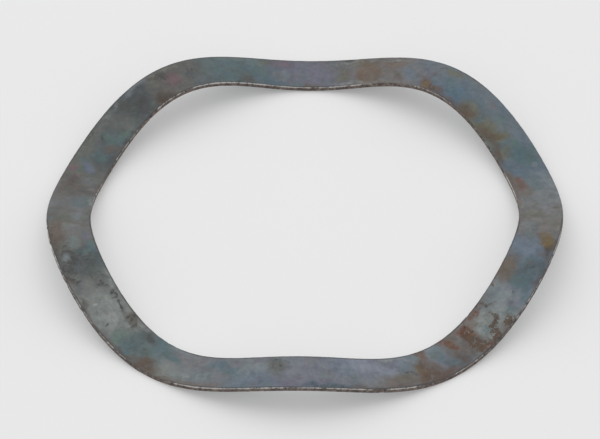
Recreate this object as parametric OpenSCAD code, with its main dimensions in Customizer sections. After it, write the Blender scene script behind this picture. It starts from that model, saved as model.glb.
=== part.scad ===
// A closed wave spring washer: a flat ring of strip steel that is formed into even waves.
// It lies on a flat surface, on its three lowest troughs, and +Y points at the lowest one.

/* [Ring] */
// Diameter of the outer edge
outer_d = 51.5; // [46:0.1:72]
// Width of the strip, from the hole to the outer edge
strip_w = 4.4; // [2:0.1:8]
// Thickness of the strip
strip_t = 0.5; // [0.3:0.05:1]
// Width of the broken corner along each of the four edges
edge_break = 0.06; // [0.02:0.01:0.12]

/* [Waves] */
// Number of waves round the ring
waves = 5; // [3:1:8]
// Height from trough to crest at the outer edge
rim_wave_h = 3; // [1:0.05:5]
// Height from trough to crest at the hole
bore_wave_h = 2.8; // [1:0.05:5]

/* [Set from use] */
// How far two opposite sides stand above the mean height, and the two between them below it
warp_h = 0.38; // [0:0.02:0.6]

/* [Hidden] */

outer_r = outer_d / 2;
inner_r = outer_r - strip_w;
half_t = strip_t / 2;

// Angular steps, a whole number to each wave so that every crest and trough is a step
steps_per_wave = 36;
steps = waves * steps_per_wave;

// The band runs this far past the two edges, where the walls then cut it
overrun = (half_t - edge_break) / 2;

// Facets of the two round walls
wall_facets = 240;

// The direction of the lowest trough
low_trough = 90;

// The ring leans until the lowest trough and the two nearly opposite it touch the surface
rest_angle = floor(waves / 2) * 360 / waves;
lean_h = 2 * warp_h * (1 + cos(rest_angle));

// Height from trough to crest at radius r, which changes evenly from the hole to the outer edge
function wave_h(r) = bore_wave_h + (rim_wave_h - bore_wave_h) * (r - inner_r) / (outer_r - inner_r);

// Height of the middle of the strip, a degrees round from the lowest trough, at radius r
function middle_z(a, r) =
  -wave_h(r) / 2 * cos(waves * a)
  - warp_h * cos(2 * a)
  + lean_h * cos(a) * r / outer_r;

// Climb of the strip along its own circle, in mm for each mm
function climb(a, r) =
  (waves * wave_h(r) / 2 * sin(waves * a)
  + 2 * warp_h * sin(2 * a)
  - lean_h * sin(a) * r / outer_r) / r;

// A strip that climbs is cut slantwise by an upright line, so it measures more along it
function upright(a, r) = sqrt(1 + pow(climb(a, r), 2));

// Half of the strip's section, from the hole to the outer edge, as [radius, share of half_t]
edge_share = (half_t - edge_break) / half_t;
overrun_share = edge_share - overrun / half_t;
top_line = [
  [inner_r - overrun, overrun_share],
  [inner_r + edge_break, 1],
  [outer_r - edge_break, 1],
  [outer_r + overrun, overrun_share],
];
bottom_line = [for (i = [len(top_line) - 1:-1:0]) [top_line[i][0], -top_line[i][1]]];
section = concat(top_line, bottom_line);
corners = len(section);

// The section at each step, turned round the axis and lifted with the waves
band_points = [
  for (s = [0:steps - 1])
    let (a = s * 360 / steps)
      for (c = section)
        [
          c[0] * cos(low_trough + a),
          c[0] * sin(low_trough + a),
          middle_z(a, c[0]) + c[1] * half_t * upright(a, c[0])
        ]
];

// Two triangles between each corner of the section and the next, from every step to the next
band_faces = [
  for (s = [0:steps - 1])
    for (c = [0:corners - 1])
      let (
        here = s * corners,
        there = (s + 1) % steps * corners,
        d = (c + 1) % corners
      )
        each [
          [here + c, here + d, there + d],
          [here + c, there + d, there + c]
        ]
];

lowest = min([for (p = band_points) p[2]]);
highest = max([for (p = band_points) p[2]]);

// The wavy strip, endless round the axis and a little wider than the ring
module band() {
  polyhedron(points = band_points, faces = band_faces, convexity = 2 * waves);
}

// The space between the two round walls, taller than the waves at both ends
module wall_space() {
  translate([0, 0, lowest - strip_t])
    difference() {
      cylinder(r = outer_r, h = highest - lowest + 2 * strip_t, $fn = wall_facets);
      translate([0, 0, -strip_t])
        cylinder(r = inner_r, h = highest - lowest + 4 * strip_t, $fn = wall_facets);
    }
}

// The washer is one piece, set down so that its lowest troughs are at zero height
module spring_washer() {
  color([0.36, 0.38, 0.39])
    translate([0, 0, -lowest])
      intersection() {
        wall_space();
        band();
      }
}

spring_washer();
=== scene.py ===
"""A worn wave spring washer of blued steel, lying on a pale floor.

The ring is a fine mesh with rounded, worn edges that stands for the plain CAD ring. Its colours
are laid down in two steps: soft fields of colour, rust, stain and wear, with a painted highlight
on the bright corners and a dark line of painted shade beside them, are worked out for each point
of the mesh from patches placed one by one, and the material then breaks their edges up with
noise. A place on the ring is given by its angle, in degrees round from the trough at the back,
counter-clockwise from above, and by how far across the strip it lies, from 0 at the hole to 1 at
the rim.
"""
import math

import bpy
import numpy as np
from mathutils import Matrix, Vector, noise


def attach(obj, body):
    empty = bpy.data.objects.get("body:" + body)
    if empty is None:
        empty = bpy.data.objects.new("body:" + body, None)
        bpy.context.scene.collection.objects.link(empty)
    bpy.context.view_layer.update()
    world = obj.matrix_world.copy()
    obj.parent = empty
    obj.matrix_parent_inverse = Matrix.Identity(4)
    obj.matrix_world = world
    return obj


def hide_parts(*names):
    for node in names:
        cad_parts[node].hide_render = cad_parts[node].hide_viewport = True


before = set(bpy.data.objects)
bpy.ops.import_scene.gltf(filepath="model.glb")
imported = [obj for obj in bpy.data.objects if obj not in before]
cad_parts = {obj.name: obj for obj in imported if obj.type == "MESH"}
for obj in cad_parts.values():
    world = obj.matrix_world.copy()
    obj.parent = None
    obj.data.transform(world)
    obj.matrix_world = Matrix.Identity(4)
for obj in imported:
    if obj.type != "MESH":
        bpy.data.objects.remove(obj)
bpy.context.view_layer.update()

# The ring's form, as the frame gives it
MM = 0.001
NODE = "spring_washer"
cad_radii = [math.hypot(v.co.x, v.co.y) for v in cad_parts[NODE].data.vertices]
OUTER_R = max(cad_radii)
INNER_R = min(cad_radii)
STRIP_W = OUTER_R - INNER_R

# The strip and its waves, with the CAD ring's values: how thick it is, how many waves it has, how
# high they are at rim and hole, and how far the set that the ring took in use bends it out of flat
STRIP_T = 0.5 * MM
WAVES = 5
RIM_WAVE_H = 3.0 * MM
BORE_WAVE_H = 2.8 * MM
WARP_H = 0.38 * MM

# The direction of the trough at angle 0, which is the lowest before the ring leans, the angle from
# it to the two nearly opposite it, and the lean that sets all three down
LOW_TROUGH = math.radians(90)
REST_ANGLE = math.radians(WAVES // 2 * 360 / WAVES)
LEAN_H = 2 * WARP_H * (1 + math.cos(REST_ANGLE))

# The mesh: steps round the ring, points along each stretch of its section, how much closer the
# top's points stand near its corners, and the corners' radius
STEPS = 1440
TOP_POINTS = 30
UNDER_POINTS = 12
EDGE_POINTS = 4
TOP_CROWDING = 0.6
EDGE_R = 0.075 * MM

# Points above the first height in the section belong to the top, and those within the second of
# its middle to a side wall
UPPER_Z = STRIP_T / 4
WALL_Z = STRIP_T / 2 - 0.6 * EDGE_R

# How far the edges are worn back and over what width. The depth is a share of the first value: a
# base, and noises over it, as scale and strength, with a seed for each edge
EDGE_RUB = 0.018 * MM
RUB_W = 0.4 * MM
RUB_BASE = 0.5
RUB_NOISES = ((40, 1.0), (110, 0.6))
RIM_SEED = 3
HOLE_SEED = 8

# The nicks in rim and hole, as angle and half length in degrees and depth
RIM_NICKS = [
    (98.5, 0.9, 0.10 * MM), (104.5, 1.1, 0.06 * MM), (116.5, 0.8, 0.06 * MM),
    (124.0, 0.6, 0.05 * MM), (198.0, 0.7, 0.05 * MM), (233.0, 0.6, 0.02 * MM),
    (252.0, 0.8, 0.02 * MM),
]
HOLE_NICKS = [
    (276.5, 0.8, 0.08 * MM), (49.0, 0.6, 0.05 * MM), (229.0, 0.6, 0.05 * MM),
    (143.0, 0.5, 0.04 * MM),
]

# The photograph's camera: the picture's width and the focal length in pixels, the sensor's width,
# the nearest that the camera sees, where it stands and what it aims at
PHOTO_W = 600
FOCAL_PX = 4176
SENSOR_MM = 36
CLIP_START = 0.01
CAMERA_DISTANCE = 16.18 * OUTER_R
CAMERA_ELEVATION = math.radians(42.19)
CAMERA_TURN = math.radians(2.18)
CAMERA_ROLL = math.radians(1.165)
AIM_X = -0.0191 * OUTER_R
AIM_Y = -0.0235 * OUTER_R

# The floor's colour, the share of it that glows, its roughness and its size
FLOOR_GREY = (0.807, 0.807, 0.807, 1)
FLOOR_GLOW = 0.3
FLOOR_ROUGHNESS = 0.9
FLOOR_SIZE = 3.0

# The light: a square lamp, and a white sky
LAMP_PLACE = (-0.1, 0.35, 0.8)
LAMP_SIZE = 1.2
LAMP_WATTS = 3.5
SKY_WHITE = (1, 1, 1, 1)
SKY_STRENGTH = 0.75


def linear(red, green, blue):
    """A colour as seen on a screen, 0 to 255, as the linear values that shaders take."""
    shares = [c / 255 for c in (red, green, blue)]
    return tuple(c / 12.92 if c < 0.04045 else ((c + 0.055) / 1.055) ** 2.4 for c in shares)


# The steel's colours: blued steel
SLATE = linear(76, 80, 82)
GREY_GREEN = linear(98, 101, 98)
GREY_BROWN = linear(101, 99, 96)
OLIVE = linear(104, 104, 91)
TEAL = linear(89, 107, 111)
BLUE = linear(93, 106, 118)
VIOLET = linear(107, 108, 121)
PALE = linear(124, 128, 125)
PALE_BLUE = linear(119, 127, 132)
PALE_TEAL = linear(111, 122, 121)
MIST = linear(118, 120, 124)
WARM_GREY = linear(114, 110, 108)
SKY = linear(105, 118, 132)
DEEP_TEAL = linear(78, 99, 105)
DEEP_BLUE = linear(85, 104, 119)
GREEN = linear(86, 109, 100)
LILAC = linear(116, 114, 125)
ASH = linear(104, 106, 108)
DUSK = linear(97, 105, 122)
STEEL = linear(102, 112, 120)
HAZE = linear(133, 139, 155)
LAGOON = linear(96, 116, 122)
ROSE = linear(110, 87, 93)
CHARCOAL = linear(72, 72, 72)

# Rust, and its pits
RED_RUST = linear(122, 77, 63)
BROWN = linear(103, 86, 74)
RUST = linear(117, 83, 63)
OCHRE = linear(117, 98, 66)
DARK_RUST = linear(78, 64, 56)
EARTH = linear(85, 74, 65)
TAN = linear(118, 101, 87)
PIT = linear(58, 50, 48)
SAND = linear(126, 116, 108)

# Worn steel, the bright corners (worn steel and partly a painted highlight) and the side walls
WORN = linear(138, 144, 142)
# Bright worn steel at the corners, and partly a painted highlight
BRIGHT_WEAR_AND_HIGHLIGHT = linear(200, 198, 195)
DARK_WALL = linear(80, 71, 68)
BROWN_WALL = linear(128, 117, 110)


def wave_height(radius):
    """Height from trough to crest at this radius."""
    return BORE_WAVE_H + (RIM_WAVE_H - BORE_WAVE_H) * (radius - INNER_R) / STRIP_W


def middle_z(angle, radius):
    """Height of the middle of the strip, before the ring is set down on the floor."""
    wave = -wave_height(radius) / 2 * np.cos(WAVES * angle)
    warp = -WARP_H * np.cos(2 * angle)
    lean = LEAN_H * np.cos(angle) * radius / OUTER_R
    return wave + warp + lean


def climb(angle, radius):
    """Slope of the strip along its own circle."""
    wave = WAVES * wave_height(radius) / 2 * np.sin(WAVES * angle)
    warp = 2 * WARP_H * np.sin(2 * angle)
    lean = -LEAN_H * np.sin(angle) * radius / OUTER_R
    return (wave + warp + lean) / radius


# The angle of each step, and how far the ring is lifted until its lowest trough is on the floor
all_angles = np.arange(STEPS) * 2 * math.pi / STEPS
FLOOR_TO_MIDDLE = STRIP_T / 2 - middle_z(all_angles, OUTER_R).min()


def section():
    """The strip's section from the hole's top edge over the rim and back, as rows of radius and
    height from the middle."""
    half = STRIP_T / 2
    crowded = 0.5 - 0.5 * np.cos(np.linspace(0, math.pi, TOP_POINTS))
    even = np.linspace(0, 1, TOP_POINTS)
    across = TOP_CROWDING * crowded + (1 - TOP_CROWDING) * even
    top_r = INNER_R + EDGE_R + (STRIP_W - 2 * EDGE_R) * across
    points = [(r, half) for r in top_r]
    turn = [math.radians(90 * k / EDGE_POINTS) for k in range(1, EDGE_POINTS)]
    rim_r, hole_r = OUTER_R - EDGE_R, INNER_R + EDGE_R
    edge_z = half - EDGE_R
    points += [(rim_r + EDGE_R * math.sin(t), edge_z + EDGE_R * math.cos(t)) for t in turn]
    points += [(OUTER_R, z) for z in np.linspace(edge_z, -edge_z, EDGE_POINTS)]
    points += [(rim_r + EDGE_R * math.cos(t), -edge_z - EDGE_R * math.sin(t)) for t in turn]
    points += [(r, -half) for r in np.linspace(rim_r, hole_r, UNDER_POINTS)]
    points += [(hole_r - EDGE_R * math.sin(t), -edge_z - EDGE_R * math.cos(t)) for t in turn]
    points += [(INNER_R, z) for z in np.linspace(-edge_z, edge_z, EDGE_POINTS)]
    points += [(hole_r - EDGE_R * math.cos(t), edge_z + EDGE_R * math.sin(t)) for t in turn]
    return np.array(points)


def turned_by(angle_deg, centre_deg):
    """Degrees from the centre to each angle, the short way round."""
    return (angle_deg - centre_deg + 180) % 360 - 180


def near_edge(distance, width):
    """How close each point is to an edge, from 0 at this width or more away to 1 on it."""
    return np.clip(1 - distance / width, 0, 1)


def worn_away(nicks, seed):
    """How far an edge is worn back at each step: a little everywhere, and more in its nicks."""
    turn = [Vector((math.cos(a), math.sin(a), seed)) for a in all_angles]
    rub = np.array([sum(part * noise.noise(scale * t) for scale, part in RUB_NOISES) for t in turn])
    depth = EDGE_RUB * np.clip(RUB_BASE + rub, 0, None)
    for angle_deg, half_deg, nick_depth in nicks:
        along = turned_by(np.degrees(all_angles), angle_deg)
        depth = depth + nick_depth * np.clip(1 - (along / half_deg) ** 2, 0, 1)
    return depth[:, None]


def ring_points():
    """Every point of the ring, by step and by place in the section."""
    radius, rise = section().T
    angle = all_angles[:, None]
    near_rim = near_edge(OUTER_R - radius, RUB_W)
    near_hole = near_edge(radius - INNER_R, RUB_W)
    radius = radius - near_rim * worn_away(RIM_NICKS, RIM_SEED)
    radius = radius + near_hole * worn_away(HOLE_NICKS, HOLE_SEED)
    upright = np.sqrt(1 + climb(angle, radius) ** 2)
    height = FLOOR_TO_MIDDLE + middle_z(angle, radius) + rise * upright
    turned = angle + LOW_TROUGH
    return np.stack([radius * np.cos(turned), radius * np.sin(turned), height], -1)


def ring_mesh():
    """The ring as a closed mesh of quads."""
    points = ring_points()
    around, along = points.shape[:2]
    step, place = np.meshgrid(np.arange(around), np.arange(along), indexing="ij")
    next_step, next_place = (step + 1) % around, (place + 1) % along
    corners = [step * along + place, next_step * along + place]
    corners += [next_step * along + next_place, step * along + next_place]
    faces = np.stack(corners, -1).reshape(-1, 4)
    mesh = bpy.data.meshes.new("washer_ring")
    mesh.from_pydata(points.reshape(-1, 3).tolist(), [], faces.tolist())
    mesh.update()
    mesh.shade_smooth()
    return mesh


# Soft patches of colour over the base, as angle, across, half length in degrees, half width in
# shares of the strip, slant in shares for each degree, strength, and colour
TINT_PATCHES = [
    (3, 0.55, 4.0, 0.50, 0.00, 0.6, VIOLET), (7, 0.84, 3.0, 0.18, 0.00, 0.4, ROSE),
    (11.5, 0.84, 2.0, 0.16, 0.00, 0.6, OLIVE), (12, 0.38, 4.0, 0.26, 0.00, 0.7, TEAL),
    (7.6, 0.38, 2.2, 0.20, 0.00, 0.7, PALE_BLUE), (22, 0.50, 4.0, 0.40, 0.00, 0.4, TEAL),
    (20.4, 0.72, 2.4, 0.18, 0.00, 0.7, LAGOON), (18, 0.93, 5.0, 0.10, 0.00, 0.9, PALE_TEAL),
    (36.6, 0.52, 2.8, 0.28, 0.00, 0.8, ROSE), (39.2, 0.84, 1.8, 0.12, 0.00, 0.7, EARTH),
    (31, 0.50, 2.6, 0.26, 0.00, 0.6, GREY_BROWN), (50.2, 0.66, 1.2, 0.26, 0.00, 0.3, EARTH),
    (47.4, 0.46, 3.4, 0.38, 0.00, 0.8, SLATE), (44.8, 0.93, 3.4, 0.10, 0.00, 0.9, MIST),
    (58.4, 0.46, 3.4, 0.60, 0.00, 0.4, SLATE), (60.5, 0.46, 1.8, 0.24, -0.08, 0.6, GREEN),
    (57.5, 0.16, 3.0, 0.12, 0.02, 0.6, GREEN), (63, 0.56, 2.0, 0.24, 0.00, 0.4, SLATE),
    (65.5, 0.20, 1.6, 0.12, 0.00, 0.5, SLATE), (66, 0.34, 2.0, 0.26, -0.04, 0.8, DEEP_TEAL),
    (68.6, 0.66, 1.3, 0.16, 0.00, 0.6, DEEP_TEAL), (70.5, 0.50, 2.2, 0.18, -0.05, 1.0, DUSK),
    (73, 0.52, 0.8, 0.40, -0.09, 0.6, GREY_GREEN), (75.4, 0.32, 1.6, 0.16, 0.00, 0.7, MIST),
    (72.0, 0.89, 1.5, 0.11, -0.02, 0.8, ROSE), (71.6, 0.70, 1.3, 0.06, -0.04, 0.8, GREEN),
    (86, 0.30, 3.4, 0.24, 0.00, 0.6, TEAL), (79, 0.10, 3.6, 0.08, 0.00, 0.2, ROSE),
    (79.5, 0.93, 4.0, 0.09, 0.00, 0.8, MIST), (85.5, 0.08, 3.0, 0.09, 0.00, 0.8, PALE_TEAL),
    (88, 0.66, 3.0, 0.20, 0.00, 0.6, GREY_BROWN), (92.4, 0.32, 3.6, 0.18, 0.00, 0.7, PALE_BLUE),
    (100, 0.36, 2.0, 0.16, 0.00, 0.7, MIST), (105, 0.48, 2.8, 0.18, 0.00, 0.8, PALE_TEAL),
    (103.5, 0.15, 2.6, 0.10, 0.00, 0.7, VIOLET), (99, 0.60, 1.4, 0.20, 0.00, 0.7, PALE),
    (107.6, 0.15, 1.8, 0.11, 0.00, 0.8, TEAL), (112.5, 0.14, 3.0, 0.14, 0.00, 0.6, SLATE),
    (113.8, 0.46, 3.8, 0.32, 0.00, 0.7, SLATE), (110.5, 0.76, 1.3, 0.13, 0.00, 0.8, PALE_BLUE),
    (123.5, 0.94, 3.0, 0.10, 0.00, 0.8, GREY_BROWN), (131, 0.94, 2.4, 0.09, 0.00, 0.7, ASH),
    (127.8, 0.24, 1.8, 0.07, 0.03, 0.9, WORN), (131.6, 0.36, 1.5, 0.10, 0.00, 1.0, PALE),
    (120.4, 0.07, 3.8, 0.08, 0.00, 0.9, PALE), (119.5, 0.76, 2.0, 0.20, 0.00, 0.8, ASH),
    (116.6, 0.91, 2.0, 0.10, 0.00, 0.6, EARTH), (110.5, 0.94, 3.5, 0.09, 0.00, 0.6, SLATE),
    (109.4, 0.26, 1.7, 0.17, 0.00, 1.0, DEEP_TEAL), (124.4, 0.74, 0.28, 0.03, 0.00, 1.0, BRIGHT_WEAR_AND_HIGHLIGHT),
    (131.8, 0.16, 2.2, 0.14, 0.00, 0.6, EARTH), (133.4, 0.70, 1.5, 0.26, 0.00, 0.6, GREEN),
    (137, 0.60, 2.6, 0.50, 0.00, 0.4, DEEP_TEAL), (136.5, 0.08, 1.7, 0.09, 0.00, 0.8, MIST),
    (144.8, 0.31, 3.8, 0.11, 0.03, 0.9, TEAL), (139, 0.19, 1.8, 0.09, 0.00, 0.9, SLATE),
    (148.4, 0.39, 2.6, 0.11, 0.02, 1.0, TEAL), (154, 0.70, 5.0, 0.20, 0.00, 0.5, PALE_BLUE),
    (157, 0.60, 2.6, 0.15, 0.00, 1.0, PALE_BLUE), (146.5, 0.08, 2.6, 0.09, 0.00, 0.9, PALE_BLUE),
    (161.8, 0.38, 5.6, 0.20, 0.045, 1.0, LAGOON), (160.4, 0.28, 3.2, 0.14, 0.04, 0.6, BLUE),
    (165, 0.20, 3.0, 0.14, 0.00, 0.7, LILAC), (158, 0.10, 4.0, 0.10, 0.00, 0.5, LILAC),
    (172, 0.76, 4.0, 0.20, 0.00, 0.5, SKY), (170, 0.08, 2.6, 0.10, 0.00, 0.8, LILAC),
    (174.4, 0.32, 3.4, 0.28, 0.00, 0.9, GREY_GREEN), (186.6, 0.94, 6.0, 0.12, 0.00, 1.0, DEEP_BLUE),
    (192.5, 0.60, 1.8, 0.40, 0.00, 0.5, TEAL), (198, 0.20, 9.5, 0.42, 0.00, 1.0, HAZE),
    (202.6, 0.08, 2.6, 0.10, 0.00, 1.0, HAZE), (204, 0.72, 2.6, 0.24, 0.00, 0.6, OLIVE),
    (206.5, 0.38, 2.6, 0.16, 0.00, 0.5, TEAL), (202, 0.16, 4.0, 0.24, 0.00, 0.8, VIOLET),
    (215.5, 0.42, 1.8, 0.20, 0.03, 0.9, BLUE), (216.4, 0.28, 1.6, 0.15, 0.00, 0.6, TEAL),
    (218.5, 0.74, 2.8, 0.26, 0.00, 0.8, SLATE), (218, 0.66, 1.6, 0.14, 0.00, 0.5, BLUE),
    (222.4, 0.84, 1.4, 0.14, 0.00, 0.7, TEAL), (235.2, 0.80, 1.8, 0.14, 0.00, 0.8, TEAL),
    (237, 0.71, 1.6, 0.12, 0.00, 0.8, VIOLET), (240.4, 0.48, 1.6, 0.20, 0.00, 0.8, VIOLET),
    (240.4, 0.86, 2.6, 0.10, 0.00, 0.8, BLUE), (229, 0.60, 1.6, 0.18, 0.00, 0.6, TEAL),
    (243, 0.58, 2.6, 0.34, 0.00, 0.8, DEEP_TEAL), (246, 0.94, 3.4, 0.10, 0.00, 0.7, SLATE),
    (247.5, 0.66, 3.0, 0.28, 0.00, 0.7, DEEP_TEAL), (253, 0.40, 4.2, 0.26, 0.00, 0.9, SKY),
    (262.5, 0.38, 3.0, 0.14, 0.00, 0.5, TEAL), (262.8, 0.22, 2.4, 0.20, 0.00, 0.7, PALE_BLUE),
    (263.5, 0.82, 1.8, 0.14, 0.00, 0.7, OLIVE), (269, 0.34, 2.6, 0.20, 0.00, 0.8, OLIVE),
    (260, 0.08, 2.6, 0.08, 0.00, 0.3, ROSE), (272, 0.86, 1.0, 0.09, 0.00, 0.9, OLIVE),
    (274, 0.50, 1.0, 0.09, 0.00, 0.9, OLIVE), (272, 0.64, 4.0, 0.07, 0.01, 0.9, LILAC),
    (285, 0.52, 4.0, 0.20, 0.00, 0.6, TEAL), (294.5, 0.66, 4.0, 0.34, 0.00, 0.9, DEEP_TEAL),
    (291, 0.24, 2.4, 0.20, 0.00, 0.7, BLUE), (296.5, 0.28, 2.6, 0.14, 0.03, 0.8, OLIVE),
    (298.5, 0.62, 1.4, 0.10, 0.00, 0.7, GREEN), (301.5, 0.40, 1.8, 0.24, 0.00, 0.8, OLIVE),
    (305, 0.28, 2.8, 0.22, 0.00, 0.9, OLIVE), (308.6, 0.20, 1.1, 0.18, 0.00, 0.8, TEAL),
    (311.5, 0.50, 2.4, 0.12, 0.04, 0.5, DEEP_BLUE), (310.2, 0.30, 1.2, 0.14, 0.00, 0.7, TEAL),
    (312.5, 0.26, 3.0, 0.22, 0.00, 0.8, OLIVE), (318, 0.36, 3.6, 0.26, 0.00, 0.8, DEEP_BLUE),
    (310, 0.56, 3.0, 0.12, 0.00, 0.5, STEEL), (322, 0.52, 2.2, 0.14, 0.00, 0.9, TEAL),
    (322.6, 0.83, 2.8, 0.14, 0.00, 0.8, OLIVE), (317.5, 0.93, 2.6, 0.10, 0.00, 0.8, ASH),
    (329, 0.56, 2.4, 0.16, 0.00, 0.6, LILAC), (333.4, 0.40, 2.4, 0.16, 0.05, 0.7, SKY),
    (338, 0.70, 2.4, 0.10, 0.00, 0.3, ROSE), (351.4, 0.42, 1.5, 0.28, 0.04, 0.7, OLIVE),
    (347.4, 0.78, 2.0, 0.18, 0.00, 0.6, OLIVE), (343, 0.93, 2.6, 0.07, 0.00, 0.8, MIST),
    (357, 0.46, 2.4, 0.24, 0.00, 0.8, VIOLET), (359, 0.08, 2.6, 0.10, 0.00, 0.8, GREY_BROWN),
]

# Soft rust, written in the same way
RUST_PATCHES = [
    (17, 0.20, 2.4, 0.30, 0.00, 0.4, BROWN), (42, 0.10, 3.2, 0.26, 0.00, 0.8, EARTH),
    (43.5, 0.04, 1.4, 0.10, 0.00, 0.6, RUST), (62.8, 0.18, 2.4, 0.24, 0.05, 0.6, BROWN),
    (61, 0.04, 1.6, 0.08, 0.00, 0.6, RUST), (63.8, 0.07, 2.0, 0.09, 0.00, 0.6, EARTH),
    (78, 0.74, 5.0, 0.24, 0.00, 0.3, BROWN), (101, 0.84, 7.2, 0.20, 0.00, 0.6, BROWN),
    (105.6, 0.87, 3.0, 0.13, 0.00, 0.4, EARTH), (143, 0.94, 4.8, 0.26, 0.00, 0.9, BROWN),
    (142.8, 0.78, 2.6, 0.24, 0.00, 0.9, BROWN), (150, 0.98, 6.0, 0.05, 0.00, 0.7, TAN),
    (158, 0.95, 5.0, 0.08, 0.00, 0.6, TAN), (160.2, 0.91, 2.6, 0.09, 0.00, 0.5, TAN),
    (203, 0.80, 4.4, 0.32, 0.00, 0.45, TAN), (210.5, 0.88, 4.6, 0.28, 0.00, 1.0, BROWN),
    (210.2, 0.60, 2.3, 0.36, -0.02, 1.0, OCHRE), (212.8, 0.66, 1.8, 0.30, 0.00, 0.7, BROWN),
    (211.5, 0.34, 1.7, 0.30, -0.06, 0.8, BROWN), (212.5, 0.10, 1.8, 0.18, 0.00, 0.8, RUST),
    (214, 0.90, 3.4, 0.20, 0.00, 0.9, BROWN), (220.2, 0.30, 1.6, 0.24, 0.00, 0.9, BROWN),
    (218.6, 0.12, 1.5, 0.18, 0.00, 0.8, RED_RUST), (221.8, 0.44, 2.8, 0.56, -0.02, 0.6, BROWN),
    (219.4, 0.60, 0.8, 0.30, -0.14, 0.7, BROWN), (222.6, 0.72, 0.7, 0.26, -0.10, 0.7, BROWN),
    (224.6, 0.50, 2.1, 0.60, 0.00, 0.9, BROWN), (218.4, 0.40, 1.0, 0.16, 0.00, 0.5, BROWN),
    (229, 0.92, 5.0, 0.16, 0.00, 0.5, BROWN), (231, 0.06, 5.6, 0.12, 0.00, 0.6, BROWN),
    (228, 0.24, 1.6, 0.12, 0.00, 0.5, BROWN), (245, 0.16, 4.2, 0.28, 0.00, 0.6, TAN),
    (243, 0.04, 3.0, 0.08, 0.00, 0.35, RUST), (252, 0.92, 3.0, 0.12, -0.03, 0.7, BROWN),
    (252.4, 0.80, 1.8, 0.12, 0.00, 0.5, BROWN), (254.8, 0.84, 3.6, 0.15, -0.03, 0.9, EARTH),
    (257.2, 0.72, 3.0, 0.22, -0.04, 1.0, OCHRE), (281, 0.26, 3.4, 0.22, 0.00, 0.5, OCHRE),
    (284.8, 0.17, 3.4, 0.19, 0.00, 0.7, RUST), (286.4, 0.08, 2.6, 0.08, 0.00, 0.7, OCHRE),
    (283, 0.03, 4.0, 0.06, 0.00, 0.8, OCHRE), (302.0, 0.26, 1.2, 0.26, -0.06, 0.8, OCHRE),
    (302, 0.08, 2.2, 0.10, 0.00, 0.6, RED_RUST), (297.5, 0.10, 5.4, 0.16, 0.01, 0.8, BROWN),
    (303, 0.10, 4.0, 0.18, 0.00, 0.75, BROWN), (312.4, 0.12, 4.2, 0.18, 0.00, 0.8, BROWN),
    (319, 0.02, 4.4, 0.07, 0.00, 0.6, BROWN), (323.6, 0.10, 3.2, 0.14, 0.02, 0.8, BROWN),
    (326.8, 0.14, 3.2, 0.20, 0.05, 1.0, RUST), (326.9, 0.13, 1.5, 0.16, 0.05, 0.4, OCHRE),
    (324.8, 0.08, 1.6, 0.10, 0.00, 0.6, RUST), (329.2, 0.31, 1.6, 0.07, 0.04, 0.7, BROWN),
    (335.3, 0.17, 2.5, 0.13, 0.06, 0.5, EARTH), (342.7, 0.40, 1.4, 0.36, 0.10, 0.85, BROWN),
    (345.0, 0.24, 2.0, 0.24, 0.08, 0.8, TAN), (346.8, 0.42, 1.8, 0.34, 0.08, 0.8, TAN),
    (345.2, 0.65, 3.5, 0.27, 0.05, 0.85, TAN), (338.4, 0.75, 2.6, 0.12, 0.00, 1.0, SAND),
    (341.6, 0.84, 2.4, 0.10, 0.00, 0.4, TAN), (343, 0.05, 1.2, 0.07, 0.00, 0.9, EARTH),
    (359, 0.06, 2.8, 0.09, 0.00, 0.7, BROWN), (278, 0.02, 7.0, 0.07, 0.00, 0.6, TAN),
    (286, 0.04, 6.0, 0.10, 0.00, 0.8, TAN), (317, 0.03, 6.0, 0.09, 0.00, 0.6, BROWN),
    (337, 0.04, 9.0, 0.09, 0.00, 0.6, SAND), (139, 0.97, 8.0, 0.07, 0.00, 0.7, BROWN),
    (199, 0.95, 9.0, 0.10, 0.00, 0.65, BROWN), (214, 0.97, 8.0, 0.08, 0.00, 0.7, BROWN),
]

# Thick rust with ragged edges and pits, written in the same way
CRUST_PATCHES = [
    (42.5, 0.06, 1.6, 0.14, 0.00, 0.7, EARTH), (210, 0.80, 1.8, 0.22, 0.00, 0.4, BROWN),
    (218.8, 0.10, 1.4, 0.12, 0.00, 1.0, RED_RUST), (220.4, 0.32, 1.2, 0.18, 0.00, 0.5, RUST),
    (224.6, 0.56, 1.7, 0.50, 0.00, 0.85, BROWN), (225.2, 0.87, 2.1, 0.17, 0.00, 0.9, BROWN),
    (225.4, 0.94, 1.2, 0.08, 0.00, 0.8, RED_RUST), (225.7, 0.19, 2.3, 0.17, 0.00, 1.0, RED_RUST),
    (226.3, 0.36, 1.2, 0.16, 0.00, 0.8, RUST), (229.8, 0.13, 2.6, 0.08, 0.00, 0.55, RED_RUST),
    (232.6, 0.12, 1.4, 0.08, 0.00, 0.7, ROSE), (234.0, 0.16, 0.8, 0.14, 0.00, 0.8, BROWN),
    (235.3, 0.30, 1.2, 0.06, 0.08, 0.7, BROWN), (228.4, 0.88, 1.8, 0.16, -0.05, 1.0, BROWN),
    (230.3, 0.78, 2.2, 0.15, -0.08, 1.0, BROWN), (231.9, 0.64, 0.9, 0.09, -0.08, 0.9, EARTH),
    (232.4, 0.54, 0.6, 0.20, 0.00, 0.7, EARTH), (233.2, 0.92, 1.6, 0.12, 0.00, 1.0, BROWN),
    (240, 0.05, 2.0, 0.06, 0.00, 0.6, BROWN), (324.6, 0.08, 1.8, 0.10, 0.02, 0.6, BROWN),
    (101, 0.96, 4.0, 0.07, 0.00, 0.6, BROWN),
]

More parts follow.
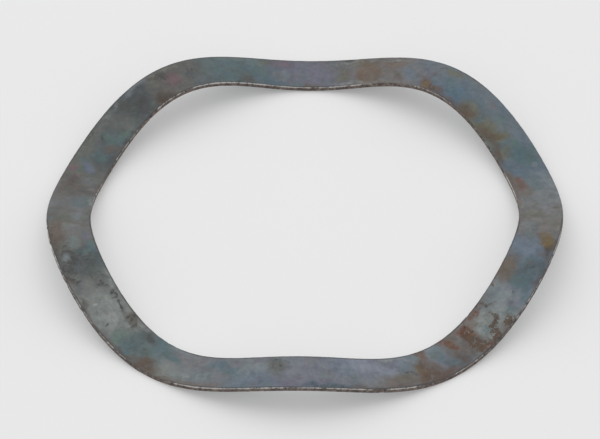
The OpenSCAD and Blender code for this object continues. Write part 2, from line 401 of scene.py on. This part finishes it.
# Dark stains, without a colour
STAIN_PATCHES = [
    (17, 0.16, 2.2, 0.20, 0.00, 0.6), (19.2, 0.08, 2.0, 0.09, 0.00, 0.6),
    (8.5, 0.45, 0.9, 0.12, 0.00, 0.4), (31, 0.50, 2.4, 0.26, 0.00, 0.6),
    (34, 0.40, 7.0, 0.60, 0.00, 0.3), (38.6, 0.82, 2.3, 0.22, 0.00, 0.9),
    (41.5, 0.14, 2.4, 0.20, 0.00, 0.6), (47.8, 0.46, 3.8, 0.52, 0.00, 0.7),
    (49.5, 0.80, 2.0, 0.24, 0.00, 0.4), (49.3, 0.15, 0.7, 0.10, 0.00, 1.0),
    (55.5, 0.34, 0.8, 0.12, 0.00, 0.6), (57.5, 0.07, 4.6, 0.08, 0.00, 0.7),
    (61, 0.93, 2.6, 0.08, 0.00, 0.6), (60.8, 0.58, 1.6, 0.06, -0.10, 0.7),
    (66, 0.24, 2.0, 0.24, -0.04, 0.5), (77, 0.76, 4.4, 0.28, -0.03, 0.5),
    (80, 0.34, 3.0, 0.26, -0.03, 0.5), (75.5, 0.48, 1.2, 0.30, -0.09, 0.4),
    (105.6, 0.65, 2.8, 0.07, 0.06, 0.7), (108.8, 0.70, 0.6, 0.24, 0.08, 0.8),
    (111, 0.60, 1.4, 0.08, -0.03, 0.8), (110, 0.90, 1.4, 0.06, 0.02, 0.7),
    (113.5, 0.78, 3.6, 0.22, -0.01, 0.8), (117.4, 0.80, 1.6, 0.16, 0.00, 0.7),
    (109, 0.93, 3.8, 0.08, 0.00, 0.7), (123.5, 0.95, 2.6, 0.06, 0.00, 0.5),
    (112, 0.42, 4.4, 0.36, -0.01, 0.7), (108.5, 0.30, 2.0, 0.16, 0.00, 0.5),
    (116, 0.88, 2.6, 0.10, -0.02, 0.6), (118.8, 0.33, 3.2, 0.05, -0.03, 0.7),
    (117.6, 0.24, 1.6, 0.09, 0.00, 0.5), (120.6, 0.24, 1.6, 0.04, -0.03, 0.8),
    (122.8, 0.18, 0.7, 0.11, 0.06, 0.75), (123.8, 0.12, 1.0, 0.06, 0.00, 0.9),
    (124.0, 0.22, 0.6, 0.09, -0.06, 0.8), (125.6, 0.10, 2.4, 0.05, 0.02, 0.9),
    (127.2, 0.14, 1.6, 0.05, 0.03, 0.8), (128, 0.17, 3.4, 0.03, 0.045, 0.7),
    (130.6, 0.22, 0.9, 0.09, -0.06, 0.9), (131.6, 0.13, 1.1, 0.07, 0.00, 0.9),
    (132.0, 0.20, 0.6, 0.10, 0.08, 0.7), (133.3, 0.24, 0.7, 0.14, 0.04, 0.9),
    (129.5, 0.76, 0.5, 0.06, 0.00, 0.8), (137, 0.40, 2.4, 0.50, 0.00, 0.3),
    (138.6, 0.21, 0.8, 0.06, 0.04, 0.9), (139.8, 0.19, 0.7, 0.07, -0.04, 0.8),
    (142.5, 0.62, 1.4, 0.10, 0.00, 0.5), (140.4, 0.48, 1.6, 0.18, 0.00, 0.5),
    (175.2, 0.26, 0.8, 0.14, 0.03, 0.6), (173.4, 0.30, 0.5, 0.10, -0.04, 0.6),
    (172.2, 0.18, 1.0, 0.07, 0.00, 0.5), (174, 0.10, 2.6, 0.05, 0.00, 0.5),
    (177.6, 0.19, 0.7, 0.06, 0.00, 0.8), (186.6, 0.93, 5.8, 0.11, 0.00, 0.7),
    (206.8, 0.60, 2.6, 0.08, 0.07, 0.7), (210, 0.84, 1.6, 0.16, 0.00, 0.4),
    (223.5, 0.30, 1.4, 0.30, 0.00, 0.5), (226.5, 0.66, 0.6, 0.16, 0.00, 0.6),
    (235.4, 0.30, 1.0, 0.05, 0.10, 0.8), (233.5, 0.28, 1.6, 0.14, 0.00, 0.5),
    (236.8, 0.71, 1.0, 0.07, 0.00, 0.5), (239.3, 0.62, 0.5, 0.06, 0.00, 0.7),
    (246.5, 0.28, 3.0, 0.16, 0.00, 0.5), (247, 0.68, 3.4, 0.26, 0.00, 0.5),
    (256, 0.96, 2.4, 0.05, 0.00, 0.6), (272.4, 0.86, 0.8, 0.07, 0.00, 0.6),
    (287.4, 0.24, 0.5, 0.06, 0.00, 0.7), (294.5, 0.80, 2.8, 0.24, 0.00, 0.5),
    (296.2, 0.32, 1.8, 0.10, 0.03, 0.6), (321, 0.24, 0.6, 0.08, 0.00, 0.6),
    (326, 0.85, 1.8, 0.06, -0.02, 0.8), (345, 0.945, 13.0, 0.022, 0.00, 0.7),
    (344, 0.85, 9.0, 0.018, 0.00, 0.5),
]

# Pale places where the blue is worn through, without a colour
PALE_PATCHES = [
    (15, 0.80, 3.0, 0.20, 0.00, 0.3), (53.5, 0.90, 7.0, 0.09, 0.00, 0.5),
    (40, 0.93, 8.0, 0.07, 0.00, 0.5), (94, 0.14, 5.0, 0.16, 0.00, 0.4),
    (80.5, 0.16, 3.0, 0.10, 0.00, 0.5), (98.8, 0.56, 1.2, 0.26, 0.00, 0.5),
    (110.8, 0.76, 1.0, 0.12, 0.00, 0.6), (127.4, 0.54, 5.6, 0.38, 0.00, 0.9),
    (121, 0.10, 1.6, 0.10, 0.00, 0.9), (127.5, 0.32, 2.0, 0.04, 0.05, 0.9),
    (131.8, 0.38, 1.1, 0.11, 0.00, 1.0), (135, 0.14, 1.6, 0.14, 0.00, 0.6),
    (119, 0.07, 2.6, 0.09, 0.00, 1.0), (124.3, 0.74, 0.3, 0.04, 0.00, 1.0),
    (154, 0.76, 3.6, 0.16, 0.00, 0.6), (86, 0.08, 3.0, 0.08, 0.00, 0.8),
    (155, 0.20, 4.0, 0.16, 0.00, 0.4), (168, 0.46, 4.0, 0.30, 0.00, 0.5),
    (189, 0.72, 0.6, 0.18, 0.00, 0.6), (190, 0.40, 14.0, 0.60, 0.00, 0.45),
    (198, 0.36, 5.0, 0.34, 0.00, 0.5), (224.4, 0.80, 0.7, 0.10, -0.05, 0.9),
    (227.3, 0.82, 0.8, 0.08, 0.00, 0.8), (227, 0.56, 1.3, 0.26, -0.04, 0.8),
    (230, 0.36, 3.2, 0.26, -0.02, 0.75), (233.6, 0.56, 2.4, 0.28, 0.00, 0.65),
    (238, 0.46, 3.4, 0.34, 0.00, 0.5), (234.5, 0.86, 1.0, 0.10, 0.00, 0.8),
    (275, 0.60, 12.0, 0.60, 0.00, 0.5), (263, 0.50, 8.0, 0.60, 0.00, 0.4),
    (203, 0.08, 4.0, 0.10, 0.00, 1.0), (157, 0.60, 2.2, 0.12, 0.00, 0.7),
    (274, 0.08, 3.6, 0.08, 0.00, 0.6), (345, 0.90, 4.0, 0.06, 0.00, 0.5),
    (262, 0.08, 3.0, 0.08, 0.00, 0.6), (238.6, 0.08, 2.6, 0.08, 0.00, 0.9),
    (290.8, 0.72, 0.9, 0.08, 0.00, 0.8), (340, 0.08, 5.0, 0.08, 0.00, 1.0),
    (348.6, 0.08, 6.0, 0.09, 0.00, 1.0), (150.6, 0.08, 2.6, 0.09, 0.00, 0.8),
    (349, 0.70, 2.0, 0.20, 0.04, 0.3), (344, 0.895, 13.0, 0.026, 0.00, 1.0),
]

# The base colours round the ring, by angle, for the half next to the hole and the half next to
# the rim
HOLE_SIDE = [
    (0, VIOLET), (8, BLUE), (16, TEAL), (22, TEAL), (30, GREY_GREEN), (38, GREY_BROWN),
    (46, SLATE), (51, SLATE), (55, GREY_GREEN), (61, TEAL), (67, SLATE), (74, GREY_GREEN),
    (80, GREY_BROWN), (86, MIST), (94, GREY_GREEN), (101, WARM_GREY), (106, GREY_GREEN),
    (112, TEAL), (118, GREY_GREEN), (124, PALE), (131, PALE), (137, GREY_GREEN), (142, TEAL),
    (149, MIST), (158, MIST), (166, PALE_BLUE), (175, PALE_BLUE), (183, VIOLET), (193, SKY),
    (204, PALE_BLUE), (216, PALE_BLUE), (230, PALE), (239, PALE_BLUE), (246, GREY_BROWN),
    (254, SKY), (262, WARM_GREY), (270, WARM_GREY), (278, MIST), (288, BLUE), (298, TEAL),
    (308, OLIVE), (318, DEEP_BLUE), (327, BLUE), (332, MIST), (338, WARM_GREY), (347, WARM_GREY),
    (354, VIOLET),
]
RIM_SIDE = [
    (0, VIOLET), (8, VIOLET), (14, TEAL), (24, TEAL), (31, GREY_BROWN), (39, GREY_BROWN),
    (44, SLATE), (51, SLATE), (56, GREY_GREEN), (66, GREY_GREEN), (74, GREY_BROWN),
    (82, GREY_BROWN), (87, MIST), (93, OLIVE), (100, WARM_GREY), (106, GREY_BROWN),
    (114, GREY_GREEN), (122, PALE), (131, PALE), (137, TEAL), (148, PALE), (158, MIST),
    (168, SKY), (178, VIOLET), (188, VIOLET), (198, MIST), (206, WARM_GREY),
    (218, VIOLET), (228, PALE), (237, PALE_BLUE), (245, BLUE), (254, BLUE), (261, WARM_GREY),
    (268, WARM_GREY), (274, MIST), (282, PALE_BLUE), (290, BLUE), (302, STEEL), (314, STEEL),
    (324, STEEL), (331, MIST), (338, WARM_GREY), (347, WARM_GREY), (353, ASH),
]

# Where the top corners of rim and hole are bright, partly worn steel and partly a painted
# highlight, as angle and half length in degrees and strength
RIM_WEAR_AND_HIGHLIGHT = [
    (99, 4, 2.0), (107, 9, 1.1), (120, 12, 0.7), (134, 8, 0.7), (158, 10, 1.0), (172, 10, 0.9),
    (188, 12, 0.9), (203, 5, 1.0), (219, 7, 0.7), (240, 14, 0.6), (256, 10, 0.9), (20, 14, 0.5),
    (340, 14, 0.5),
]
HOLE_WEAR_AND_HIGHLIGHT = [
    (4, 10, 0.9), (22, 18, 1.2), (42, 12, 0.7), (60, 12, 0.6), (82, 12, 0.7), (283, 10, 1.2),
    (300, 12, 0.5), (325, 14, 0.6), (350, 12, 0.8),
]

# The dark line of painted shade that runs beside each top corner: how far in, how wide, and
# where it fades, written in the same way
PAINTED_SHADE_IN = 0.10 * MM
PAINTED_SHADE_W = 0.11 * MM
PAINTED_SHADE_FADES = [
    (82, 14, 0.9), (142, 9, 0.5), (240, 12, 0.4), (276, 12, 1.0), (300, 22, 0.8), (338, 16, 0.8),
]

# How strongly the patches of rust, stain and wear show on the underside
UNDER_SHARE = 0.5

# How far noise moves the patches' outlines, in degrees and in shares, and at what scale
SWAY_DEG = 1.2
SWAY_ACROSS = 0.11
SWAY_SCALE = 0.6 / MM
SWAY_SEED = 1
DRIFT_SEED = 5
SEED_SHIFT = (17.3, 5.1, 9.7)
OCTAVES = (1.0, 0.5, 0.25)

# How full a patch is at its middle and how fast it fades, the same for a stretch of an edge, and
# how much sooner a rust patch's colour is full than its rust
PATCH_CORE = 1.45
PATCH_FADE = 1.1
STRETCH_FADE = 1.6
TINT_LEAD = 1.5

# Where the colours of the hole's side start to give way to the rim's, and over what share
SIDES_MEET = 0.2
SIDES_OVERLAP = 0.6

# How far in from rim or hole a bright corner, worn steel and partly a painted highlight, reaches
WEAR_AND_HIGHLIGHT_W = 1.2 * EDGE_R


def noise_at(points, scale, seed):
    """Smooth noise for each point, from about -0.5 to 0.5."""
    shift = Vector([seed * part for part in SEED_SHIFT])
    found = [noise.noise(Vector(p) * scale + shift) for p in points]
    return np.array(found) * 0.5


def drift_at(points, seed):
    """Noise of three scales together, for each point."""
    return sum(share * noise_at(points, SWAY_SCALE / share, seed + share) for share in OCTAVES)


class Surface:
    """Each point of the ring by its angle in degrees and its share of the way across."""

    def __init__(self, points):
        radius = np.hypot(points[:, 0], points[:, 1])
        turned = np.degrees(np.arctan2(points[:, 1], points[:, 0])) - math.degrees(LOW_TROUGH)
        self.angle = turned % 360
        self.across = (radius - INNER_R) / STRIP_W
        self.swayed_angle = self.angle + 2 * SWAY_DEG * drift_at(points, SWAY_SEED)
        self.swayed_across = self.across + 2 * SWAY_ACROSS * drift_at(points, DRIFT_SEED)

    def patch(self, angle, across, half_length, half_width, slant):
        """How strongly each point lies in a soft, wavering patch, from 0 to 1."""
        along = turned_by(self.swayed_angle, angle)
        side = self.swayed_across - across - slant * along
        reach = np.hypot(along / half_length, side / half_width)
        inside = np.clip(PATCH_CORE - PATCH_FADE * reach, 0, 1)
        return inside * inside * (3 - 2 * inside)

    def tinted(self, patches, tint):
        """The colours with many coloured patches laid over them, each over those before."""
        for *place, strength, colour in patches:
            tint = blend(tint, np.array(colour), self.patch(*place) * strength)
        return tint

    def strongest(self, patches):
        """The strongest of many patches without a colour at each point."""
        total = np.zeros(len(self.angle))
        for *place, strength in patches:
            total = np.maximum(total, strength * self.patch(*place))
        return total

    def layer(self, patches, tint):
        """The strongest of many coloured patches at each point, and their colours."""
        total = np.zeros(len(self.angle))
        for *place, strength, colour in patches:
            amount = self.patch(*place)
            tint = blend(tint, np.array(colour), np.clip(TINT_LEAD * amount, 0, 1))
            total = np.maximum(total, amount * strength)
        return total, tint

    def stretch(self, parts):
        """How strongly each point lies within stretches of an edge."""
        total = np.zeros(len(self.angle))
        for centre, half_length, strength in parts:
            reach = np.abs(turned_by(self.swayed_angle, centre)) / half_length
            inside = np.clip(STRETCH_FADE - STRETCH_FADE * reach, 0, 1)
            total = np.maximum(total, strength * inside)
        return total

    def along_stops(self, stops):
        """The colour at each angle between stops, going evenly from one to the next."""
        angles = [a for a, _ in stops] + [360]
        colours = [c for _, c in stops] + [stops[0][1]]
        return np.stack([np.interp(self.swayed_angle % 360, angles, c) for c in zip(*colours)], -1)


def blend(below, above, amount):
    """The colours below with this amount of those above over them, for each point."""
    return below + (above - below) * amount[:, None]


def store(mesh, name, values):
    """Keeps one value or one colour for each point under this name."""
    if values.ndim == 1:
        mesh.attributes.new(name, "FLOAT", "POINT").data.foreach_set("value", values)
        return
    colours = np.concatenate([values, np.ones((len(values), 1))], -1)
    mesh.attributes.new(name, "FLOAT_COLOR", "POINT").data.foreach_set("color", colours.ravel())


def paint(mesh):
    """Lays the fields of colour, rust, stain and wear on the ring's points, and the painted
    highlight and painted shade at the corners.
    """
    co = np.empty(len(mesh.vertices) * 3)
    mesh.vertices.foreach_get("co", co)
    surface = Surface(co.reshape(-1, 3))
    rise = np.tile(section()[:, 1], STEPS)
    upper = rise > UPPER_Z

    share = np.clip((surface.swayed_across - SIDES_MEET) / SIDES_OVERLAP, 0, 1)
    tint = blend(surface.along_stops(HOLE_SIDE), surface.along_stops(RIM_SIDE), share)
    tint = surface.tinted(TINT_PATCHES, tint)
    rust_tint = np.tile(BROWN, (len(tint), 1))
    rust, rust_tint = surface.layer(RUST_PATCHES, rust_tint)
    crust, rust_tint = surface.layer(CRUST_PATCHES, rust_tint)
    stain = surface.strongest(STAIN_PATCHES)
    pale = surface.strongest(PALE_PATCHES)

    to_rim = (1 - surface.across) * STRIP_W
    to_hole = surface.across * STRIP_W
    # The bright corners: worn steel, and partly a painted highlight
    rim_wear_and_highlight = near_edge(to_rim, WEAR_AND_HIGHLIGHT_W) * upper * surface.stretch(RIM_WEAR_AND_HIGHLIGHT)
    hole_wear_and_highlight = near_edge(to_hole, WEAR_AND_HIGHLIGHT_W) * upper * surface.stretch(HOLE_WEAR_AND_HIGHLIGHT)
    wear_and_highlight = np.maximum(rim_wear_and_highlight, hole_wear_and_highlight)
    side = (np.abs(rise) < WALL_Z).astype(float)
    to_corner = np.minimum(to_hole, to_rim)
    # A dark line of painted shade beside each top corner
    line = np.exp(-(((to_corner - PAINTED_SHADE_IN) / PAINTED_SHADE_W) ** 2)) * upper
    line = line * np.clip(1 - surface.stretch(PAINTED_SHADE_FADES), 0, 1)

    shown = np.where(upper, 1, UNDER_SHARE)
    for name, values in (
        ("tint", tint), ("rust", rust * shown), ("crust", crust * shown),
        ("rust_tint", rust_tint), ("stain", stain * shown), ("pale", pale * shown),
        ("wear_and_highlight", wear_and_highlight), ("side", side), ("line", line),
    ):
        store(mesh, name, values)


ring = bpy.data.objects.new("washer_ring", ring_mesh())
bpy.context.scene.collection.objects.link(ring)
paint(ring.data)
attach(ring, "root")
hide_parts(NODE)


class Nodes:
    """Short calls that build a material's nodes. Each gives back its output socket."""

    def __init__(self, name):
        self.material = bpy.data.materials.new(name)
        self.material.use_nodes = True
        self.tree = self.material.node_tree
        self.shader = self.tree.nodes["Principled BSDF"]
        place = self.node("ShaderNodeTexCoord").outputs["Object"]
        scaled = self.node("ShaderNodeVectorMath", operation="SCALE")
        self.feed(scaled.inputs[0], place)
        scaled.inputs["Scale"].default_value = 1 / MM
        self.place_mm = scaled.outputs["Vector"]

    def node(self, kind, **settings):
        made = self.tree.nodes.new(kind)
        for name, value in settings.items():
            setattr(made, name, value)
        return made

    def feed(self, socket, value):
        if isinstance(value, bpy.types.NodeSocket):
            self.tree.links.new(value, socket)
        elif isinstance(value, tuple):
            socket.default_value = (*value, 1)
        else:
            socket.default_value = value

    def field(self, name):
        """A value or colour stored on the mesh."""
        made = self.node("ShaderNodeAttribute", attribute_name=name)
        return made.outputs["Color" if name.endswith("tint") else "Fac"]

    def math(self, operation, one, two):
        made = self.node("ShaderNodeMath", operation=operation)
        self.feed(made.inputs[0], one)
        self.feed(made.inputs[1], two)
        return made.outputs[0]

    def mix(self, amount, below, above):
        made = self.node("ShaderNodeMix", data_type="RGBA")
        self.feed(made.inputs["Factor"], amount)
        self.feed(made.inputs["A"], below)
        self.feed(made.inputs["B"], above)
        return made.outputs["Result"]

    def grain(self, per_mm, detail, roughness, seed=0.0):
        """Noise with this many cycles for each millimetre."""
        made = self.node("ShaderNodeTexNoise", noise_dimensions="4D")
        self.feed(made.inputs["Vector"], self.place_mm)
        self.feed(made.inputs["W"], seed)
        self.feed(made.inputs["Scale"], per_mm)
        self.feed(made.inputs["Detail"], detail)
        self.feed(made.inputs["Roughness"], roughness)
        return made.outputs["Fac"]

    def between(self, value, low, high, bottom=0.0, top=1.0):
        """A smooth step from bottom to top while the value goes from low to high."""
        made = self.node("ShaderNodeMapRange", interpolation_type="SMOOTHSTEP")
        for socket, number in zip(made.inputs, (value, low, high, bottom, top)):
            self.feed(socket, number)
        return made.outputs[0]

    def broken(self, amount, noise_socket, swing, low, high):
        """A soft field broken up by noise into a patch with a ragged edge. Swing is how strongly
        the noise moves it, and the patch fills in while the field goes from low to high."""
        push = self.math("MULTIPLY", self.math("SUBTRACT", noise_socket, 0.5), swing)
        ragged = self.math("MULTIPLY", amount, self.math("ADD", push, 1.0))
        return self.between(ragged, low, high)

    def over(self, base, colour, *amounts):
        """The base with this colour over it, by all these amounts multiplied together."""
        amount = amounts[0]
        for factor in amounts[1:]:
            amount = self.math("MULTIPLY", amount, factor)
        return self.mix(amount, base, colour)


# The values that nearly all of a noise lies between
NOISE_LOW = 0.3
NOISE_HIGH = 0.7

# The steel's noises, as cycles for each millimetre, detail, roughness and, for four, a seed
MOTTLE = (0.9, 6.0, 0.65)
SPECKLE = (2.4, 6.0, 0.7)
FINE = (7.0, 4.0, 0.65)
BLOTCHES = (1.5, 6.0, 0.7, 3.0)
GRIT = (3.4, 5.0, 0.75, 11.0)
PITS = (4.5, 2.0, 0.5, 5.0)
BARE_FLECKS = (2.2, 3.0, 0.6, 8.0)

# Drifts of colour over all the steel, as cycles for each millimetre, seed, where in the noise the
# drift starts and where it is full, its strength then, and its colour
DRIFT_DETAIL = 4.0
DRIFT_ROUGHNESS = 0.55
DRIFTS = [
    (0.28, 1.0, 0.50, 0.75, 0.5, DEEP_BLUE), (0.55, 9.0, 0.55, 0.75, 0.6, GREEN),
    (0.60, 4.0, 0.55, 0.75, 0.4, OLIVE), (0.75, 6.0, 0.56, 0.76, 0.5, ROSE),
    (0.70, 2.0, 0.55, 0.80, 0.5, SLATE),
]

# How much of its brightness the steel keeps where each noise is low and where it is high
MOTTLE_SHADES = (0.70, 0.98)
SPECKLE_SHADES = (0.89, 1.07)
FINE_SHADES = (0.94, 1.04)

# How metallic and how rough blued steel is, and rust or a side wall, and how unevenly rough all is.
# Then the relief: its strength, its depth, and how much of it rust adds
BLUED_METAL = 0.45
RUST_METAL = 0.05
BLUED_ROUGHNESS = 0.42
RUST_ROUGHNESS = 0.75
SMOOTHER = -0.05
ROUGHER = 0.07
SPECULAR = 0.25
RELIEF = 0.4
RELIEF_DEPTH = 0.02 * MM
RUST_RELIEF = 1.5


def clouded(n, base, mottle):
    """Drifts of blue, green, brown and slate over the base."""
    for per_mm, seed, low, high, most, colour in DRIFTS:
        found = n.grain(per_mm, DRIFT_DETAIL, DRIFT_ROUGHNESS, seed)
        base = n.mix(n.between(found, low, high, 0.0, most), base, colour)
    return n.mix(n.between(mottle, 0.52, 0.75, 0.0, 0.35), base, GREY_BROWN)


def stained(n, base, mottle, speckle):
    """Pale places where the blue is worn through, and dark stains."""
    pale = n.field("pale")
    film = n.math("MULTIPLY", pale, n.between(mottle, 0.36, 0.62, 0.1, 0.5))
    flakes = n.math("MULTIPLY", n.broken(pale, speckle, 5.0, 0.5, 1.1), 0.3)
    base = n.mix(n.math("ADD", film, flakes), base, WORN)
    stain = n.field("stain")
    film = n.math("MULTIPLY", stain, n.between(mottle, 0.36, 0.62, 0.5, 0.1))
    flakes = n.math("MULTIPLY", n.broken(stain, speckle, 8.0, 0.6, 0.9), 0.65)
    return n.mix(n.math("ADD", film, flakes), base, CHARCOAL)


def rusted(n, base, mottle, speckle, fine):
    """A soft film of rust, and over it thick rust with ragged edges, pits and bare flecks. Gives
    the rust's amount too."""
    tint, soft, crust = n.field("rust_tint"), n.field("rust"), n.field("crust")
    blotch = n.grain(*BLOTCHES)
    grains = n.mix(n.between(fine, 0.4, 0.6), DARK_RUST, tint)
    film = n.math("MULTIPLY", soft, n.between(blotch, 0.36, 0.60, 0.5, 1.0))
    base = n.over(base, tint, film)
    base = n.over(base, grains, n.broken(soft, speckle, 6.0, 0.6, 1.3), 0.35)

    grit = n.grain(*GRIT)
    dark = n.mix(n.between(mottle, 0.42, 0.6, 0.0, 0.5), tint, EARTH)
    dark = n.mix(n.between(blotch, 0.48, 0.62, 0.0, 0.6), dark, OCHRE)
    dark = n.mix(n.between(grit, 0.50, 0.58, 0.0, 0.7), dark, DARK_RUST)
    dark = n.mix(n.between(grit, 0.48, 0.40, 0.0, 0.5), dark, TAN)
    thick = n.broken(crust, speckle, 4.5, 0.25, 0.95)
    base = n.over(base, dark, thick, 0.85)
    base = n.over(base, grains, n.broken(crust, speckle, 6.0, 0.5, 1.1), 0.4)
    base = n.over(base, DARK_RUST, thick, n.between(fine, 0.48, 0.62, 0.0, 0.5))
    base = n.over(base, PIT, n.between(n.grain(*PITS), 0.58, 0.68), crust, 0.7)
    base = n.over(base, WORN, n.between(n.grain(*BARE_FLECKS), 0.55, 0.63), crust, 0.7)
    return base, n.math("MAXIMUM", film, thick)


def edged(n, base, mottle, speckle):
    """The brown side walls, the dark line of painted shade beside the corners, and the bright
    corners, which are worn steel and partly a painted highlight.
    """
    walls = n.mix(n.between(speckle, 0.40, 0.62), DARK_WALL, BROWN_WALL)
    base = n.mix(n.field("side"), base, walls)
    # The dark line of painted shade beside each corner
    base = n.over(base, CHARCOAL, n.broken(n.field("line"), mottle, 4.0, 0.2, 1.0), 0.8)
    # The bright corners, worn steel and partly a painted highlight
    return n.over(base, BRIGHT_WEAR_AND_HIGHLIGHT, n.broken(n.field("wear_and_highlight"), speckle, 4.0, 0.3, 0.7), 0.75)


def shaded(n, base, mottle, speckle, fine):
    """The base made darker, unevenly."""
    shade = n.between(mottle, NOISE_LOW, NOISE_HIGH, *MOTTLE_SHADES)
    shade = n.math("MULTIPLY", shade, n.between(speckle, NOISE_LOW, NOISE_HIGH, *SPECKLE_SHADES))
    shade = n.math("MULTIPLY", shade, n.between(fine, NOISE_LOW, NOISE_HIGH, *FINE_SHADES))
    made = n.node("ShaderNodeVectorMath", operation="SCALE")
    n.feed(made.inputs[0], base)
    n.feed(made.inputs["Scale"], shade)
    return made.outputs["Vector"]


def steel_material():
    """Blued steel with brown rust, dark stains, pale worn places, bright corners that are worn
    steel and partly a painted highlight, and a dark line of painted shade beside them.
    """
    n = Nodes("blued_steel")
    mottle, speckle, fine = n.grain(*MOTTLE), n.grain(*SPECKLE), n.grain(*FINE)

    base = clouded(n, n.field("tint"), mottle)
    base = stained(n, base, mottle, speckle)
    base, rust = rusted(n, base, mottle, speckle, fine)
    base = shaded(n, base, mottle, speckle, fine)
    n.feed(n.shader.inputs["Base Color"], edged(n, base, mottle, speckle))

    dull = n.math("MAXIMUM", rust, n.field("side"))
    n.feed(n.shader.inputs["Metallic"], n.between(dull, 0.0, 1.0, BLUED_METAL, RUST_METAL))
    n.feed(n.shader.inputs["Specular IOR Level"], SPECULAR)
    roughness = n.between(dull, 0.0, 1.0, BLUED_ROUGHNESS, RUST_ROUGHNESS)
    uneven = n.between(mottle, NOISE_LOW, NOISE_HIGH, SMOOTHER, ROUGHER)
    n.feed(n.shader.inputs["Roughness"], n.math("ADD", roughness, uneven))

    bump = n.node("ShaderNodeBump")
    n.feed(bump.inputs["Strength"], RELIEF)
    n.feed(bump.inputs["Distance"], RELIEF_DEPTH)
    raised = n.math("MULTIPLY", n.math("MULTIPLY", rust, speckle), RUST_RELIEF)
    n.feed(bump.inputs["Height"], n.math("ADD", raised, fine))
    n.feed(n.shader.inputs["Normal"], bump.outputs["Normal"])
    return n.material


ring.data.materials.append(steel_material())


def floor_material():
    """Pale matt grey. Part of what the camera and reflections see is the floor's own grey, so
    that its shadows are as light as those in the photograph."""
    material = bpy.data.materials.new("pale_floor")
    material.use_nodes = True
    tree = material.node_tree
    shader = tree.nodes["Principled BSDF"]
    shader.inputs["Base Color"].default_value = FLOOR_GREY
    shader.inputs["Roughness"].default_value = FLOOR_ROUGHNESS
    shader.inputs["Specular IOR Level"].default_value = 0.0
    glow = tree.nodes.new("ShaderNodeEmission")
    glow.inputs["Color"].default_value = FLOOR_GREY
    path = tree.nodes.new("ShaderNodeLightPath")
    either = tree.nodes.new("ShaderNodeMath")
    seen = tree.nodes.new("ShaderNodeMath")
    share = tree.nodes.new("ShaderNodeMath")
    either.operation = seen.operation = "MAXIMUM"
    share.operation = "MULTIPLY"
    share.inputs[1].default_value = FLOOR_GLOW
    mix = tree.nodes.new("ShaderNodeMixShader")
    for output, socket in (
        (path.outputs["Is Camera Ray"], either.inputs[0]),
        (path.outputs["Is Glossy Ray"], either.inputs[1]),
        (either.outputs[0], seen.inputs[0]),
        (path.outputs["Is Transmission Ray"], seen.inputs[1]),
        (seen.outputs[0], share.inputs[0]),
        (share.outputs[0], mix.inputs[0]),
        (shader.outputs[0], mix.inputs[1]),
        (glow.outputs[0], mix.inputs[2]),
        (mix.outputs[0], tree.nodes["Material Output"].inputs["Surface"]),
    ):
        tree.links.new(output, socket)
    return material


def build_floor():
    """A wide pale floor at the height that the ring lies on."""
    half = FLOOR_SIZE / 2
    corners = [(-half, -half, 0), (half, -half, 0), (half, half, 0), (-half, half, 0)]
    mesh = bpy.data.meshes.new("floor")
    mesh.from_pydata(corners, [], [(0, 1, 2, 3)])
    mesh.materials.append(floor_material())
    floor = bpy.data.objects.new("floor", mesh)
    bpy.context.scene.collection.objects.link(floor)


build_floor()


def area_lamp(name, place, size, watts):
    """A square lamp at this place, aimed at the ring."""
    lamp = bpy.data.lights.new(name, "AREA")
    lamp.size = size
    lamp.energy = watts
    holder = bpy.data.objects.new(name, lamp)
    bpy.context.scene.collection.objects.link(holder)
    holder.location = place
    holder.rotation_euler = (-Vector(place)).to_track_quat("-Z", "Y").to_euler()


def white_sky():
    """An even white light from all round."""
    world = bpy.data.worlds.new("pale_world")
    world.use_nodes = True
    sky = world.node_tree.nodes["Background"]
    sky.inputs["Color"].default_value = SKY_WHITE
    sky.inputs["Strength"].default_value = SKY_STRENGTH
    bpy.context.scene.world = world


area_lamp("top_lamp", LAMP_PLACE, LAMP_SIZE, LAMP_WATTS)
white_sky()


def build_camera():
    """The camera that took the photograph, worked out from the ring's outlines."""
    turn = Matrix.Rotation(CAMERA_TURN, 3, "Z")
    aim = turn @ Vector((AIM_X, AIM_Y, FLOOR_TO_MIDDLE))
    low, high = math.cos(CAMERA_ELEVATION), math.sin(CAMERA_ELEVATION)
    back = turn @ Vector((0, -low, high))
    right = turn @ Vector((1, 0, 0))
    up = back.cross(right)
    rolled_right = right * math.cos(CAMERA_ROLL) - up * math.sin(CAMERA_ROLL)
    rolled_up = right * math.sin(CAMERA_ROLL) + up * math.cos(CAMERA_ROLL)
    axes = Matrix((rolled_right, rolled_up, back)).transposed()
    lens = bpy.data.cameras.new("camera")
    lens.sensor_width = SENSOR_MM
    lens.lens = FOCAL_PX / PHOTO_W * SENSOR_MM
    lens.clip_start = CLIP_START
    camera = bpy.data.objects.new("camera", lens)
    camera.matrix_world = Matrix.Translation(aim + back * CAMERA_DISTANCE) @ axes.to_4x4()
    bpy.context.scene.collection.objects.link(camera)
    bpy.context.scene.camera = camera


build_camera()
bpy.context.scene.view_settings.view_transform = "Standard"
